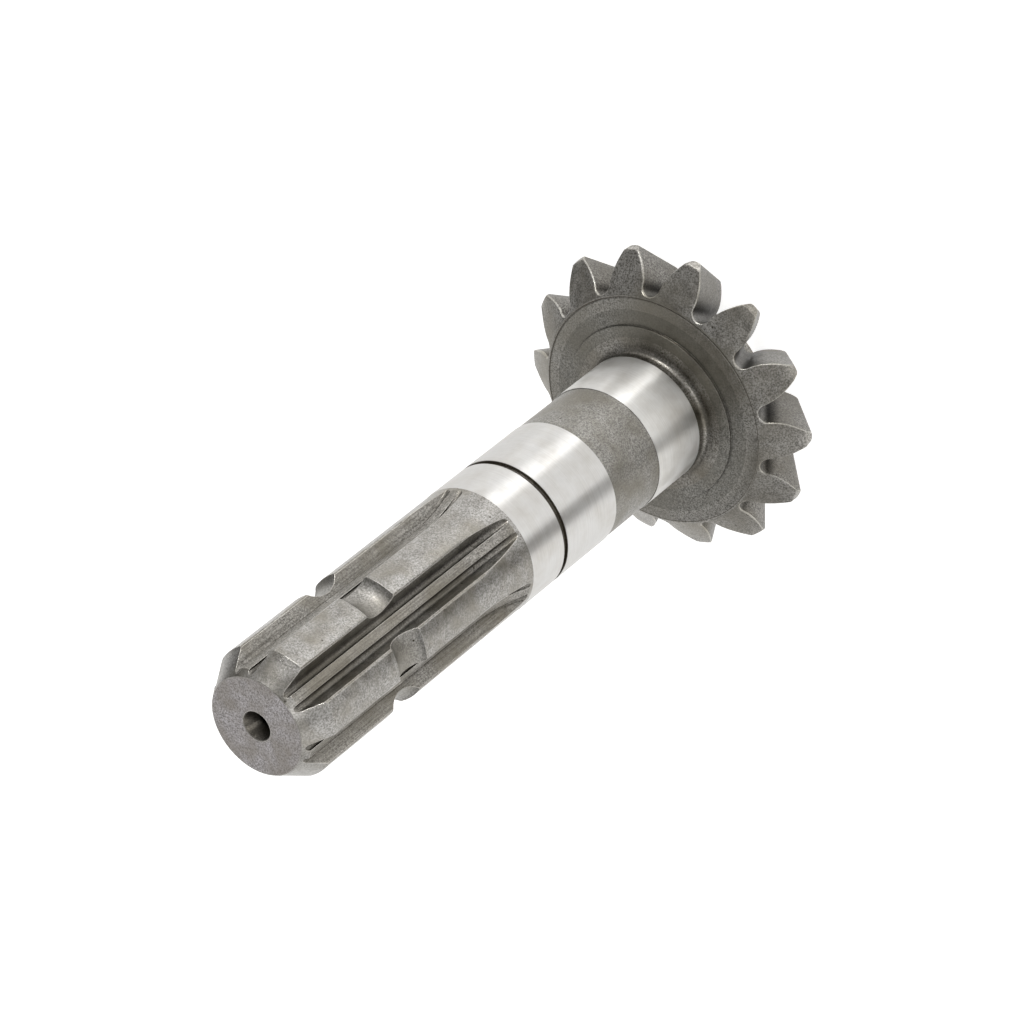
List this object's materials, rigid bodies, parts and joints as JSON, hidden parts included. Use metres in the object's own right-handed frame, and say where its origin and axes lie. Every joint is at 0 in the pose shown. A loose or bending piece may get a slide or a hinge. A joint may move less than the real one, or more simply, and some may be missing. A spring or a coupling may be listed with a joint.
{
  "type": "bevel pinion shaft",
  "caption": "Solid steel shaft with a splined drive end, ground seats for bearings and a seal, and a straight bevel pinion at the other end.",
  "frame": {"origin": "centre of the pinion's front face, on which the shaft stands", "axes": "+Z along the shaft's axis from the pinion to the splined end; +X through the middle of one pinion tooth and one spline space"},
  "size_m": [0.0836, 0.082, 0.1858],
  "materials": {
    "steel": "shot-blasted after hardening, with ground seats"
  },
  "bodies": {
    "root": {"pinion_shaft": "steel"}
  },
  "joints": []
}
